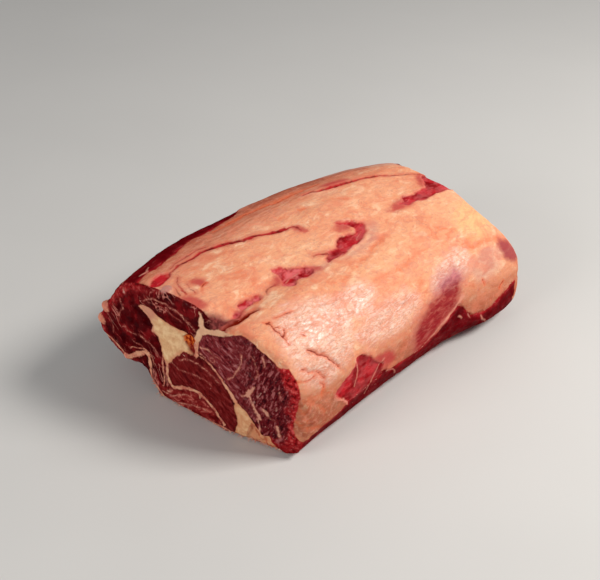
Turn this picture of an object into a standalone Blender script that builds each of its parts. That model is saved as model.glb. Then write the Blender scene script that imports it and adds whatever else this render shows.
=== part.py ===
"""Raw beef rib roast: a boneless rib joint, lying on its bone side with the fat cap up.

One closed solid. +Z is up, the long axis is Y, and the big cut face looks along -Y. The origin is
the middle of the base of the roast's box, on the surface that it lies on.

The outside is lofted along guide rails, the two cut ends are closed with grids of quads, and
gentle swells then round out the muscles. Rails and swells are written in millimetres, with Y
counted from the cut face's front.
"""

import bmesh
import bpy
import numpy as np

MM = 0.001
LENGTH = 293 * MM  # from the cut face to the far end, without their swells

# Each rail runs the length of the roast along one feature of its outside. A row gives where the
# rail crosses three sections, as (across, up): at the cut face, at half the length and at the far
# end. The rows go round the section, seen from the cut face, from the base's left.
RAILS = {
    "base_left": ((-24, 0), (-36, 0), (-36, 0)),
    "base_middle": ((30, 0), (28, 0), (28, 0)),
    "base_right": ((92, 0), (89, 0), (94, 0)),
    "heel": ((109, 6), (106, 8), (114, 9)),
    "side_low": ((113, 31), (112, 32), (122, 32)),
    "side_high": ((110, 58), (109, 58), (119, 56)),
    "shoulder_low": ((103, 80), (99, 80), (106, 73)),
    "shoulder": ((90, 93), (82, 94), (84, 85)),
    "crown_right": ((66, 101), (58, 101), (57, 94)),
    "notch_bank": ((45, 99), (42, 102), (40, 97)),
    "notch_floor": ((38, 101), (35, 103), (30, 98)),
    "notch_flap": ((33, 103), (28, 104), (20, 98)),
    "crown_left": ((12, 107), (-2, 107), (0, 100)),
    "brow": ((-22, 104), (-38, 106), (-22, 96)),
    "corner": ((-50, 96), (-69, 93), (-48, 80)),
    "cheek": ((-74, 70), (-87, 67), (-66, 58)),
    "lip": ((-88, 41), (-92, 38), (-75, 34)),
    "lip_under": ((-74, 29), (-81, 18), (-69, 14)),
    "fold_out": ((-56, 20), (-68, 7), (-60, 5)),
    "fold_in": ((-40, 25), (-52, 1), (-48, 1)),
}

# The seam between two muscles opens as a notch in the top of the cut face and fades out behind it.
NOTCH_DROPS = {"notch_bank": 3, "notch_floor": 11, "notch_flap": 1}
NOTCH_FADES_OVER = 42 * MM

# Each swell pushes the surface out round a middle, or in where its height is negative. A row gives
# the middle and the reach, both as (across, along, up), and the height.
SWELLS = {
    "eye_muscle": ((70, 8, 52), (27, 14, 26), 4.0),
    "heart_muscle": ((16, 1, 40), (24, 12, 15), 3.5),
    "cap_muscle": ((-16, 0, 92), (30, 10, 9), 2.5),
    "side_muscle": ((-56, -3, 54), (18, 10, 22), 2.5),
    "seam_hollow": ((8, 1, 68), (13, 9, 9), -3.0),
    "far_eye_muscle": ((72, 293, 48), (27, 16, 26), 4.0),
    "far_heart_muscle": ((14, 293, 38), (24, 16, 15), 3.0),
    "far_seam_hollow": ((6, 293, 66), (13, 12, 9), -2.5),
    "near_belly": ((106, 95, 62), (22, 42, 26), 2.0),
    "side_hollow": ((116, 202, 48), (20, 20, 34), -2.0),
    "far_lobe": ((122, 258, 42), (22, 26, 26), 3.0),
    "cap_hollow": ((36, 66, 103), (14, 32, 12), -2.0),
    "cap_swell": ((66, 70, 100), (22, 34, 16), 2.0),
    "back_swell": ((10, 190, 104), (34, 50, 16), 2.0),
}

# The end faces' grids of quads have their four corners on these rails.
CORNERS = ("base_left", "heel", "shoulder", "corner")

QUADS_ACROSS = 32  # along the base and the top of a section
QUADS_UP = 15  # along each of its sides
ROWS = 32  # sections along the straight run of the length
ROUND_ROWS = 3  # sections round each end's edge
RELAXING_STEPS = 60

CUT_EDGE_RADIUS = 3 * MM  # the knife leaves the near edge crisp
FAR_EDGE_RADIUS = 11 * MM
CUT_SKEW = 0.055  # the cut face's slope across, away from square
CUT_DRAW_BACK = 11 * MM  # how far the face's right edge is drawn back besides
DRAW_BACK_FROM = 40 * MM
DRAW_BACK_OVER = 66 * MM

LEAN_RED = (0.27, 0.022, 0.024, 1.0)


def rail_at(rail, along):
    """The rail's place in the section at a share of the length, on a parabola through its row."""
    cut, middle, far = np.array(rail) * MM
    near_share = (1 - along) * (1 - 2 * along)
    middle_share = 4 * along * (1 - along)
    far_share = along * (2 * along - 1)
    return near_share * cut + middle_share * middle + far_share * far


def curve_through(points, steps):
    """A closed centripetal Catmull-Rom curve, with a number of steps from each point to the next."""
    outline = []
    for i, count in enumerate(steps):
        p0, p1, p2, p3 = (points[(i + k) % len(points)] for k in (-1, 0, 1, 2))
        t1 = np.linalg.norm(p1 - p0) ** 0.5
        t2 = t1 + np.linalg.norm(p2 - p1) ** 0.5
        t3 = t2 + np.linalg.norm(p3 - p2) ** 0.5
        for t in np.linspace(t1, t2, count, endpoint=False):
            a1 = p0 + (p1 - p0) * t / t1
            a2 = p1 + (p2 - p1) * (t - t1) / (t2 - t1)
            a3 = p2 + (p3 - p2) * (t - t2) / (t3 - t2)
            b1 = a1 + (a2 - a1) * t / t2
            b2 = a2 + (a3 - a2) * (t - t1) / (t3 - t1)
            outline.append(b1 + (b2 - b1) * (t - t1) / (t2 - t1))
    return np.array(outline)


def steps_between_rails():
    """How many quads lie from each rail to the next, so that the end grids' sides come out right."""
    names = list(RAILS)
    places = np.array([RAILS[name][0] for name in names])
    runs = np.linalg.norm(np.roll(places, -1, axis=0) - places, axis=1)
    starts = [names.index(name) for name in CORNERS]
    ends = starts[1:] + [len(names)]
    steps = []
    for start, end, quads in zip(starts, ends, (QUADS_ACROSS, QUADS_UP) * 2):
        lengths = np.concatenate(([0], np.cumsum(runs[start:end])))
        spare = np.round(lengths / lengths[-1] * (quads - (end - start)))
        steps += [1 + int(share) for share in np.diff(spare)]
    return steps


def section(along, steps):
    """The outline of the roast at a share of its length."""
    rails = {name: rail_at(rail, along) for name, rail in RAILS.items()}
    fade = np.exp(-((along * LENGTH / NOTCH_FADES_OVER) ** 2))
    for name, drop in NOTCH_DROPS.items():
        rails[name][1] -= drop * MM * fade
    rails = np.array(list(rails.values()))
    outline = curve_through(rails, steps)
    outline[:, 1] = outline[:, 1].clip(min=0)
    return outline


def inset(outline, depth):
    """The outline moved in by a depth, towards its middle."""
    middle = (outline.min(axis=0) + outline.max(axis=0)) / 2
    ray = outline - middle
    return middle + ray * (1 - depth / np.linalg.norm(ray, axis=1))[:, None]


def cut_setback(across):
    """How far the cut face lies behind its front, at a place across."""
    drawn = np.clip((across - DRAW_BACK_FROM) / DRAW_BACK_OVER, 0, None)
    return CUT_SKEW * across + CUT_DRAW_BACK * drawn**2


def ring(y, depth, steps):
    """One closed row of points: a section's outline that follows the cut face while it is near."""
    along = y / LENGTH
    outline = inset(section(along, steps), depth)
    setback = cut_setback(outline[:, 0]) * (1 - along) ** 4
    return np.column_stack((outline[:, 0], y + setback, outline[:, 1]))


def wall_rings(steps):
    """The rows of points from the cut face's rim to the far end's rim."""
    turns = np.linspace(0, np.pi / 2, ROUND_ROWS, endpoint=False)
    near = [(CUT_EDGE_RADIUS * (1 - np.cos(a)), CUT_EDGE_RADIUS * (1 - np.sin(a))) for a in turns]
    far = [(LENGTH - FAR_EDGE_RADIUS * (1 - np.cos(a)), FAR_EDGE_RADIUS * (1 - np.sin(a))) for a in turns]
    straight = [(y, 0.0) for y in np.linspace(CUT_EDGE_RADIUS, LENGTH - FAR_EDGE_RADIUS, ROWS)]
    return np.array([ring(y, depth, steps) for y, depth in near + straight + far[::-1]])


def face_grid(rim):
    """A grid of points inside a closed rim: a Coons patch between its four sides, then relaxed."""
    right_at = QUADS_ACROSS
    top_at = right_at + QUADS_UP
    left_at = top_at + QUADS_ACROSS
    base = rim[: right_at + 1]
    right = rim[right_at : top_at + 1]
    top = rim[top_at : left_at + 1][::-1]
    left = np.vstack((rim[left_at:], rim[:1]))[::-1]
    u = np.linspace(0, 1, QUADS_ACROSS + 1)[None, :, None]
    v = np.linspace(0, 1, QUADS_UP + 1)[:, None, None]
    ruled = (1 - v) * base[None] + v * top[None] + (1 - u) * left[:, None] + u * right[:, None]
    corners = (1 - v) * ((1 - u) * base[0] + u * base[-1]) + v * ((1 - u) * top[0] + u * top[-1])
    grid = ruled - corners
    for _ in range(RELAXING_STEPS):
        neighbours = grid[:-2, 1:-1] + grid[2:, 1:-1] + grid[1:-1, :-2] + grid[1:-1, 2:]
        grid[1:-1, 1:-1] = neighbours / 4
    return grid


def add_wall(mesh, rows):
    """The skin of quads between the rows of vertices."""
    for near, far in zip(rows, rows[1:]):
        for i in range(len(near)):
            mesh.faces.new((near[i - 1], far[i - 1], far[i], near[i]))


def add_face(mesh, rim):
    """Closes one end with a grid of quads on the rim's own vertices."""
    grid = face_grid(np.array([vertex.co for vertex in rim]))
    vertices = [[mesh.verts.new(point) if inner(i, j) else None for i, point in enumerate(row)]
                for j, row in enumerate(grid)]
    for i in range(QUADS_ACROSS):
        vertices[0][i] = rim[i]
        vertices[QUADS_UP][QUADS_ACROSS - i] = rim[QUADS_ACROSS + QUADS_UP + i]
    for j in range(QUADS_UP):
        vertices[j][QUADS_ACROSS] = rim[QUADS_ACROSS + j]
        vertices[QUADS_UP - j][0] = rim[2 * QUADS_ACROSS + QUADS_UP + j]
    for low, high in zip(vertices, vertices[1:]):
        for i in range(QUADS_ACROSS):
            mesh.faces.new((low[i], low[i + 1], high[i + 1], high[i]))


def inner(i, j):
    """Whether a grid place lies off the rim."""
    return 0 < i < QUADS_ACROSS and 0 < j < QUADS_UP


def add_swells(mesh):
    """Moves the vertices along their normals by the swells' heights, and keeps the base flat."""
    mesh.normal_update()
    for vertex in mesh.verts:
        place = np.array(vertex.co) / MM
        height = 0.0
        for middle, reach, rise in SWELLS.values():
            away = (place - middle) / reach
            height += rise * np.exp(-away @ away)
        vertex.co += vertex.normal * float(height * MM)
        vertex.co.z = max(vertex.co.z, 0.0)


def set_origin(mesh):
    """Moves the roast so that the origin is the middle of its box's base."""
    places = np.array([vertex.co for vertex in mesh.verts])
    low, high = places.min(axis=0), places.max(axis=0)
    offset = ((low[0] + high[0]) / 2, (low[1] + high[1]) / 2, low[2])
    for vertex in mesh.verts:
        vertex.co -= type(vertex.co)(offset)


def lean_meat():
    """The lean's plain finish."""
    material = bpy.data.materials.new("lean_meat")
    material.use_nodes = True
    shader = material.node_tree.nodes["Principled BSDF"]
    shader.inputs["Base Color"].default_value = LEAN_RED
    shader.inputs["Roughness"].default_value = 0.38
    shader.inputs["Metallic"].default_value = 0.0
    return material


def make_roast():
    """The whole roast as one object."""
    mesh = bmesh.new()
    rings = wall_rings(steps_between_rails())
    rows = [[mesh.verts.new(point) for point in row] for row in rings]
    add_wall(mesh, rows)
    add_face(mesh, rows[0])
    add_face(mesh, rows[-1])
    bmesh.ops.recalc_face_normals(mesh, faces=mesh.faces)
    add_swells(mesh)
    set_origin(mesh)
    data = bpy.data.meshes.new("rib_roast")
    mesh.to_mesh(data)
    mesh.free()
    data.shade_smooth()
    data.materials.append(lean_meat())
    roast = bpy.data.objects.new("rib_roast", data)
    bpy.context.scene.collection.objects.link(roast)
    return roast


def main():
    for thing in list(bpy.data.objects):
        bpy.data.objects.remove(thing)
    make_roast()


if __name__ == "__main__":
    main()
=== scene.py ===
"""The looks of a raw beef rib roast: marbled cut faces, seam fat, a fat cap and lean showing through it.

Lengths in the lists below are millimetres. A cut face is laid out across (x) and up (z). The skin
is laid out along the roast (y) and round it (girth): girth is measured over the skin from the top,
and grows towards +X.
"""

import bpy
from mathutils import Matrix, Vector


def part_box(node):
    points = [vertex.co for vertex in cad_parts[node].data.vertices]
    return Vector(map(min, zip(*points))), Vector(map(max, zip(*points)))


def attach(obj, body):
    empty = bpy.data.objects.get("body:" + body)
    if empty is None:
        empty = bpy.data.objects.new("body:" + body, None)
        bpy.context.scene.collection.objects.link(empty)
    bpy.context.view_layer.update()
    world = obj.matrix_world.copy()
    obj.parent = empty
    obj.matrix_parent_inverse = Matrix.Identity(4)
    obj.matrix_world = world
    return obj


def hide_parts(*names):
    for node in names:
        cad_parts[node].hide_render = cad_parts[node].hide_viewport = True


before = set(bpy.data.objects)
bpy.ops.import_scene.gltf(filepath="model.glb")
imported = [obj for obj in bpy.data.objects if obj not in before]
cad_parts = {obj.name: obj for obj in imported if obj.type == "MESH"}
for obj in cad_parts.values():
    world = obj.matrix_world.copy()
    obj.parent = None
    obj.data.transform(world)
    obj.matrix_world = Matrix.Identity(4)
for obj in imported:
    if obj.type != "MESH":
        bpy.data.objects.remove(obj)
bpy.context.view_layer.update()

import itertools
import math

import bmesh
import bpy
import numpy as np
from mathutils import Vector, kdtree

MM = 0.001
LOW = np.array(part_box("rib_roast")[0]) / MM

QUAD_SIZE = 1.9  # of the skin's mesh, halved where the detail is fine
FINE_BAND = 1.8  # how far round a drawn line the finer mesh reaches
SMOOTHING_STEPS = 4
ROUNDING_STEPS = 32
CORE_ACROSS, CORE_UP = 0.0, 45.0  # the line along the roast that the girth is measured round
FAR_OFF = 14.0  # distances to the drawn shapes are kept up to this

# ---------------------------------------------------------------- what is drawn on the cut face

# Seam fat: points, then the width at the start and at the end.
SEAMS = {
    "fork": ([(3, 61), (3, 69), (6, 78), (10, 84), (15, 88.5)], 5.5, 6.0),
    "fork_left": ([(13, 87), (12, 95), (10.5, 102)], 5.5, 3.0),
    "fork_right": ([(14, 88), (20, 89.5), (27, 91), (33, 93), (39, 97)], 4.5, 4.0),
    "stem": ([(-26, 44), (-27, 34), (-27, 26), (-25, 20), (-21, 17.5)], 4.0, 3.2),
    "stem_twin": ([(-31, 46), (-32, 36), (-32, 28), (-31.5, 20), (-33, 14)], 1.8, 1.4),
    "lower": ([(-22, 17.5), (-14, 21), (-5, 25), (3, 26.8), (9, 26)], 3.4, 3.2),
    "lower_right": ([(8, 26.3), (13, 23), (18, 19), (23, 13.5), (30, 6)], 2.8, 2.2),
    "lower_spur": ([(7, 26), (7.5, 21)], 1.6, 0.8),
    "heart_side": ([(3, 61), (12, 60), (20, 57.5), (26, 53.5), (32, 48), (37, 42.5), (42, 36)], 0.8, 4.6),
    "fold": ([(-72, 25), (-64, 29), (-57, 34), (-51, 38.5), (-47.5, 36)], 4.4, 3.6),
    "fold_inner": ([(-66, 36), (-58, 39.5), (-51, 42), (-44, 38), (-42, 28)], 1.2, 1.2),
    "fold_edge": ([(-47.5, 38), (-46, 30), (-47, 22), (-45, 14), (-40, 6)], 3.4, 2.4),
    "strip_rim": ([(-40, 9), (-36, 4), (-29, 1), (-12, 0.5)], 3.4, 1.6),
    "strip_low": ([(-12, 0.5), (8, 1), (26, 3), (40, 3)], 1.6, 2.6),
    "lip_edge": ([(-99, 37), (-88, 34), (-80, 30), (-70, 23)], 2.2, 1.6),
}

# Thin pale lines inside the muscles.
VEINS = {
    "cap_line": ([(-46, 90), (-38, 95), (-30, 97.5), (-20, 96.5), (-10, 95), (-4, 91), (1, 88), (4, 83)], 0.8, 1.3),
    "cap_line_low": ([(-40, 91), (-28, 92.5), (-18, 91), (-8, 87)], 0.5, 0.3),
    "cap_spur": ([(-10, 95), (-3, 93), (2, 90)], 0.5, 0.4),
    "eye_vein": ([(49, 81), (49, 73), (46, 66), (42, 60), (36, 54)], 1.3, 1.0),
    "star_long": ([(60, 58), (56, 51.5), (49, 45)], 2.2, 1.2),
    "star_middle": ([(56, 52), (54, 48)], 4.2, 3.0),
    "star_tail": ([(56, 49), (58, 43), (60, 36), (63, 28)], 2.0, 3.0),
    "star_end": ([(61, 27), (62, 18), (60, 12)], 1.8, 2.4),
    "eye_blob": ([(67, 39), (70, 34.5)], 3.6, 2.4),
    "eye_blob_tail": ([(70, 34), (75, 30)], 1.0, 0.5),
    "eye_flick": ([(66, 86), (67.5, 81), (67, 77)], 1.4, 0.8),
    "eye_flick_low": ([(77, 25), (78.5, 17)], 2.6, 1.6),
    "eye_flick_right": ([(80, 60), (81, 54)], 1.0, 0.6),
    "eye_hook": ([(58, 84), (60, 78), (63, 72), (61, 67)], 0.8, 0.5),
    "ring": ([(19, 65.5), (21, 67), (23, 65.5), (22.5, 63), (20, 62.5), (19, 65.5)], 0.7, 0.7),
    "ring_streak": ([(9, 70), (17, 72), (23, 70), (30, 70)], 2.0, 0.5),
    "root_streak": ([(7, 64), (14, 61), (21, 58)], 1.3, 0.5),
    "heart_arc": ([(-12, 50), (-5, 53.5), (3, 54.5), (12, 53), (20, 50), (27, 45.5)], 0.6, 0.9),
    "heart_arc_low": ([(-20, 43), (-8, 42), (6, 44), (20, 41)], 0.4, 0.4),
    "side_tall": ([(-76, 58), (-74, 66), (-70, 73), (-72, 80)], 0.5, 0.7),
    "side_long": ([(-54, 53), (-46, 50), (-38, 45.5), (-33, 40)], 1.0, 0.6),
    "side_hook": ([(-69, 58), (-64, 54), (-57, 53)], 0.9, 0.5),
    "side_low": ([(-62, 47), (-54, 44), (-49, 40)], 0.8, 0.5),
    "side_back": ([(-88, 60), (-82, 52), (-84, 44)], 0.7, 0.5),
    "side_speck": ([(-68, 90.5), (-67, 88.5)], 1.8, 1.2),
    "strip_streak": ([(-33, 8), (-24, 9), (-15, 14), (-5, 18)], 1.5, 0.8),
    "strip_middle": ([(-22, 4), (-9, 8), (4, 12), (14, 12)], 1.7, 0.8),
    "strip_clump": ([(-28, 11), (-24, 14)], 2.2, 1.2),
}

# Areas, as outlines.
KERNEL_FAT = [
    (-53, 82), (-47, 85), (-40, 85), (-34, 81.5), (-22, 78), (-12, 75.5), (-4, 75), (-5, 66), (0.5, 59.5),
    (-8, 57.5), (-15, 52.5), (-19, 47), (-22, 41.5), (-27, 39.5), (-31, 43), (-33, 50), (-34, 57), (-37, 62),
    (-42, 64), (-40, 69), (-44, 74),
]
KERNEL_TIP = [(-54, 88), (-34, 86), (-34, 76), (-39, 72), (-36, 62), (-36, 58), (-46, 60), (-50, 74)]
WEDGE_FAT = [
    (41, 37), (46, 33.5), (52, 28.5), (56, 21), (60, 14), (57, 8), (50, 2), (42, 1), (41, 8), (42.5, 16), (41, 27),
]
PIT = [(-12, 70), (-6.7, 73.5), (-1, 75.5), (1.5, 71), (-1, 66.5), (2, 61.5), (-1.5, 59.5), (-6, 63.5), (-9, 66)]
CROWN_RIM = [
    (19, 92), (30, 93.5), (38, 96), (44, 97), (51, 97.5), (60, 94.5), (68, 89), (74, 84.5), (80, 80.5), (87, 82),
    (91, 79), (108, 90), (70, 118), (20, 118),
]
SIDE_RIM = [(94.5, 58), (92.5, 46), (91, 36), (89.5, 27), (91.5, 20), (99, 14), (112, 20), (112, 66)]
WEDGE_RIM = [(54, 20), (60, 16), (65, 12), (70, 13.5), (74, 9), (76, -6), (38, -6), (42, 3), (50, 4)]
EYE_MUSCLE = [
    (8, 79), (18, 88), (30, 91), (40, 96), (52, 98), (64, 93), (78, 81), (92, 80), (112, 60), (112, -8),
    (76, -8), (64, 12), (56, 24), (46, 36), (36, 46), (26, 55), (14, 61), (6, 64),
]
HEART_MUSCLE = [
    (0, 60), (14, 59), (26, 52), (36, 42), (41, 30), (42, 4), (32, 4), (20, 19), (8, 28), (-8, 25),
    (-23, 18), (-26, 30), (-22, 42), (-14, 54),
]
LOWER_STRIP = [(-42, -4), (-39, 11), (-22, 18), (-5, 25), (8, 26), (18, 19), (31, 5), (40, -4)]
BRIGHT_EDGE = [
    (76, 84), (92, 84), (112, 70), (112, -8), (62, -8), (64, 10), (74, 15), (82, 12), (86, 26), (87, 45), (86, 60),
    (82, 72),
]

# ---------------------------------------------------------------- what is drawn on the skin, as (y, girth)

# Lean that shows through the cap, with crisp edges.
RAW_PATCHES = {
    "middle": [
        (-27, 34), (-20, 25.5), (-10, 26.5), (-3.5, 21), (4, 18), (11, 20.5), (18, 23), (21.5, 17), (19, 11.5),
        (13.5, 5), (24, 9.5), (30, 15.5), (34, 20.5), (28, 27), (20, 31), (12, 33), (3, 33.5), (-9, 34.5), (-19, 34.5),
    ],
    "near": [
        (-68, 19), (-67, 12.5), (-63, 12.5), (-58, 17.5), (-50, 23.5), (-43, 30), (-45, 35), (-54, 36), (-62, 33.5),
        (-69, 36), (-74, 32), (-71, 26),
    ],
    "far": [
        (78, 20.5), (85, 19.5), (91, 14.5), (101, 18.5), (115, 18), (123, 15), (129, 8.5), (136, 2.5), (160, -2),
        (160, 34), (129, 32.5), (115, 31), (104, 31), (95, 26), (85, 27.5),
    ],
    "slit_bit": [(-126, 30.5), (-122, 26.5), (-118, 26), (-116.5, 30), (-121, 33.5), (-126, 34)],
    "slit_bit_middle": [
        (-114.5, 22.5), (-109.5, 21.5), (-105, 22.5), (-101.5, 25), (-105, 29), (-108, 28.5), (-111.5, 29.5),
        (-114, 26.5),
    ],
    "slit_bit_far": [(-101.5, 23.5), (-98, 23), (-95, 26), (-98, 29), (-101.5, 28)],
    "gloss": [(-146, -42), (-141, -46.5), (-134, -47.5), (-128.5, -44.5), (-126.5, -39.5), (-134, -35), (-142, -37)],
    "side_near": [
        (-92, 132), (-82, 128), (-76, 124), (-69, 121), (-63, 115), (-54, 115), (-49, 120), (-45, 126), (-39, 131),
        (-34, 138), (-38, 146), (-50, 156), (-62, 160), (-74, 152), (-82, 144),
    ],
}

# Dark lines cut or torn into the cap: points, width at the start, in the middle and at the end, depth.
CUTS = {
    "long_near": ([(-127, -41), (-114, -43.5), (-100, -41.5), (-88, -42.5)], 0.8, 2.4, 3.0, 0.7),
    "long_middle": ([(-88, -42.5), (-78, -40), (-70, -37.5), (-64, -33.5), (-56, -29.5)], 3.0, 4.0, 2.4, 0.9),
    "long_far": ([(-56, -29.5), (-47, -28), (-40, -25.5), (-31, -21.5), (-21, -18.5)], 2.4, 3.2, 5.0, 0.6),
    "long_twin": ([(-122, -46), (-108, -48), (-94, -46.5), (-82, -46)], 0.6, 1.0, 0.5, 0.4),
    "long_tip": ([(-21, -18.5), (-14, -13.5), (-14, -7)], 3.0, 1.4, 1.0, 0.4),
    "far_start": ([(28, -44), (40, -41.5), (50, -39), (60, -36.5)], 0.9, 2.2, 4.6, 1.1),
    "far_middle": ([(60, -36.5), (74, -34), (89, -31), (102, -24)], 4.4, 3.0, 2.2, 1.2),
    "far_tip": ([(102, -24), (116, -14.5), (128, -7), (141, 0)], 1.6, 0.9, 1.2, 0.7),
    "slit": ([(-141, 34), (-136, 35.5), (-130, 36), (-124, 36), (-117, 36.5), (-110.5, 38.5)], 3.0, 5.0, 3.0, 1.9),
    "slit_mouth": ([(-152, 35), (-145, 35), (-138, 36)], 2.0, 2.4, 3.0, 1.0),
    "near_ribbon": ([(-138, -9), (-135.5, -17), (-132, -25), (-126, -31)], 1.6, 0.9, 0.4, 0.3),
    "near_ribbon_low": ([(-142, -12), (-139.5, -18), (-137, -24)], 1.2, 0.8, 0.3, 0.3),
    "near_ribbon_high": ([(-132, -6), (-131, -12), (-128.5, -18)], 0.9, 0.5, 0.2, 0.2),
    "tear": ([(-31, 21.5), (-26, 23), (-20, 26)], 0.7, 1.0, 1.6, 0.5),
    "tear_near": ([(-90, 29.5), (-84, 25.5), (-77, 26)], 0.5, 0.9, 1.2, 0.5),
}

# Folds and fine cracks of the cap: points, width, depth.
CREASES = {
    "crack": ([(-121, 52), (-119, 57), (-120.5, 62), (-119.5, 69), (-119, 76)], 0.5, 0.8),
    "crack_arm": ([(-119, 70), (-116, 69), (-113, 66)], 0.6, 0.8),
    "crack_barb": ([(-120, 61), (-116.5, 62.5)], 0.3, 0.4),
    "crack_spur": ([(-121, 55), (-117, 55)], 0.3, 0.3),
    "hairline": ([(-110, 54), (-103, 56), (-96, 56.5)], 0.2, 0.3),
    "dimple": ([(-103, 74), (-101.5, 76)], 0.3, 0.5),
    "back_line": ([(-44, -61), (-22, -58), (0, -54.5), (30, -53), (56, -50.5)], 0.2, 0.5),
    "back_line_low": ([(-60, -60), (-46, -58.5), (-30, -57)], 0.0, 0.4),
    "fold_long": ([(-107, 86.5), (-99, 92.8), (-93, 99), (-88, 106), (-83, 112.5)], 0.4, 1.2),
    "fold_second": ([(-119, 94), (-113, 100), (-105.5, 105), (-100, 112.5)], 0.0, 0.6),
    "fold_third": ([(-106, 113), (-102.5, 116), (-102, 119), (-104.5, 123)], 0.0, 0.5),
    "fold_fourth": ([(-129, 101), (-120, 104.6), (-110, 106)], 0.0, 0.5),
    "near_arm": ([(-128, -2), (-123, -7), (-117, -9)], 0.2, 0.3),
    "side_pock": ([(91, 118), (93, 123)], 0.4, 0.6),
    "side_dip": ([(110, 131), (115, 128)], 0.4, 0.5),
}

# Soft valleys in the cap, a deeper salmon that is partly the fat's own tone and partly painted shade: points, width at
# the start and at the end, depth.
FURROWS = {
    "below_middle": ([(-20, 58), (-9.6, 51.4), (6.7, 48.5), (20.6, 43.3), (33, 40)], 2.0, 4.5, 0.5),
    "near_centre": ([(-72, 63.3), (-61, 64.6), (-50.6, 67)], 2.5, 1.5, 0.4),
    "centre_long": ([(-16, 71), (-2, 73), (14.6, 74.8), (28, 74.6)], 1.5, 3.5, 0.5),
    "low_centre": ([(-10, 99), (7, 99.5), (17, 97.4), (26, 93)], 3.0, 4.5, 0.5),
    "centre_branch": ([(-16, 46.3), (-22.8, 53), (-36, 58), (-42, 61.4)], 2.0, 2.0, 0.3),
    "far_arch": ([(72, 67.6), (80, 64), (88, 68), (93, 75)], 2.0, 1.5, 0.3),
    "far_long": ([(55, 90), (77, 88.8), (94, 91.4), (115, 94.5), (134, 99)], 1.5, 4.5, 0.5),
    "far_long_twin": ([(60, 84.5), (78, 84), (96, 87)], 1.2, 1.5, 0.3),
    "fold_valley": ([(-109, 88), (-97, 95), (-90, 103), (-82, 114)], 3.5, 4.5, 0.6),
    "fold_valley_low": ([(-120, 97), (-110, 103), (-101, 113), (-104, 124)], 3.0, 4.0, 0.5),
    "back_shade": ([(-50, -62), (-24, -59), (0, -56), (34, -54)], 3.0, 7.0, 0.2),
    "heel_fold": ([(-142, 112), (-132, 120), (-124, 131), (-122, 146)], 0.4, 1.4, 0.7),
    "heel_fold_low": ([(-120, 120), (-112, 128), (-104, 140)], 0.6, 1.6, 0.6),
    "heel_fold_end": ([(-134, 136), (-124, 144), (-110, 150)], 0.6, 1.2, 0.5),
    "fan_top": ([(-122, 83), (-109, 88.5), (-97, 93.5)], 0.2, 0.8, 0.4),
    "fan_middle": ([(-123, 93), (-112, 98.6), (-102, 106)], 0.2, 0.8, 0.4),
    "fan_low": ([(-125, 119), (-115, 120.5), (-101, 125), (-92, 128)], 0.2, 1.0, 0.4),
    "fan_inner": ([(-118, 60), (-108, 64), (-96, 66)], 0.2, 0.8, 0.3),
    "back_dash": ([(-14, -30), (2, -29), (16, -26)], 1.6, 1.2, 0.4),
    "back_dash_far": ([(33, -22), (42, -19), (50, -13)], 1.2, 1.0, 0.3),
    "slit_end": ([(-112, 36), (-104, 32), (-96, 30)], 2.0, 1.0, 0.3),
}

# Lean under a thin veil of fat, with soft edges.
BLUSHES = {
    "near_left": [(-80, 25), (-72, 19), (-66, 22), (-70, 30), (-77, 30)],
    "near_right": [(-50, 24), (-42, 29), (-36, 34), (-42, 38), (-56, 37)],
    "middle_top": [(14, 4), (24, 9), (20, 16), (12, 16), (6, 12)],
    "far_start": [(64, 21), (74, 18), (90, 16), (96, 24), (84, 29), (72, 26)],
    "far_edge": [(118, 16), (124, 4), (141, -4), (141, 12)],
    "red_bits": [(-123, 33), (-116, 27), (-108, 24), (-99, 24), (-95, 29), (-103, 28), (-112, 31), (-118, 35)],
    "ring_mark": [(-127, -16), (-122, -21), (-117, -17), (-115, -9), (-119, -6), (-124, -10)],
    "over_far_cut": [(50, -47), (60, -47), (78, -41), (80, -37), (66, -36), (54, -41)],
    "far_spot": [(125, 101), (131, 99), (138, 103), (143, 110), (143, 120), (136, 121), (128, 117), (124, 109)],
    "near_rim": [(-146, -9), (-140, -9), (-136.5, -4), (-135, 3), (-136, 9), (-141, 12), (-146, 8)],
    "near_low": [(-47, 126), (-38, 124), (-24, 128), (-18, 140), (-30, 142), (-40, 136)],
    "tip": [(-16, -16), (-9, -13), (-11, -4), (-17, -6)],
}
# A broad stain of lean under the cap, lilac at its upper end and crimson where it meets the bare side.
STAIN = [
    (58, 100), (66, 101), (69, 107), (65, 116), (61, 124), (54, 131), (43, 136), (30, 141), (20, 148), (10, 150),
    (7, 138), (11, 126), (23, 117), (36, 111), (47, 105),
]

# Thin grey or lilac skin over the fat: outlines.
VEILS = {
    "valley": [
        (-156, 12), (-146, 12), (-141, 15), (-137, 19), (-132, 24), (-128, 29), (-125, 35), (-130, 38), (-140, 39),
        (-156, 41),
    ],
    "under_middle": [(-20, 35), (-10, 36), (4, 35), (14, 35), (26, 30), (36, 21), (43, 26), (30, 38), (8, 42), (-10, 42)],
    "over_stain": [(34, 100), (46, 92), (60, 93), (72, 98), (83, 104), (76, 110), (62, 109), (48, 104), (38, 107)],
    "far_side": [(80, 106), (90, 99), (108, 98), (124, 103), (122, 112), (109, 119), (95, 121), (83, 116)],
    "far_shoulder": [(60, -94), (80, -66), (100, -60), (118, -44), (150, -24), (150, -94)],
    "left_shoulder": [(-36, -96), (-30, -76), (0, -78), (20, -96)],
    "near_corner": [(-148, -37), (-142, -36), (-141, -19), (-148, -18)],
    "near_tail": [(-48, 35), (-34, 33), (-24, 35), (-36, 38), (-54, 39)],
}

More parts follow.
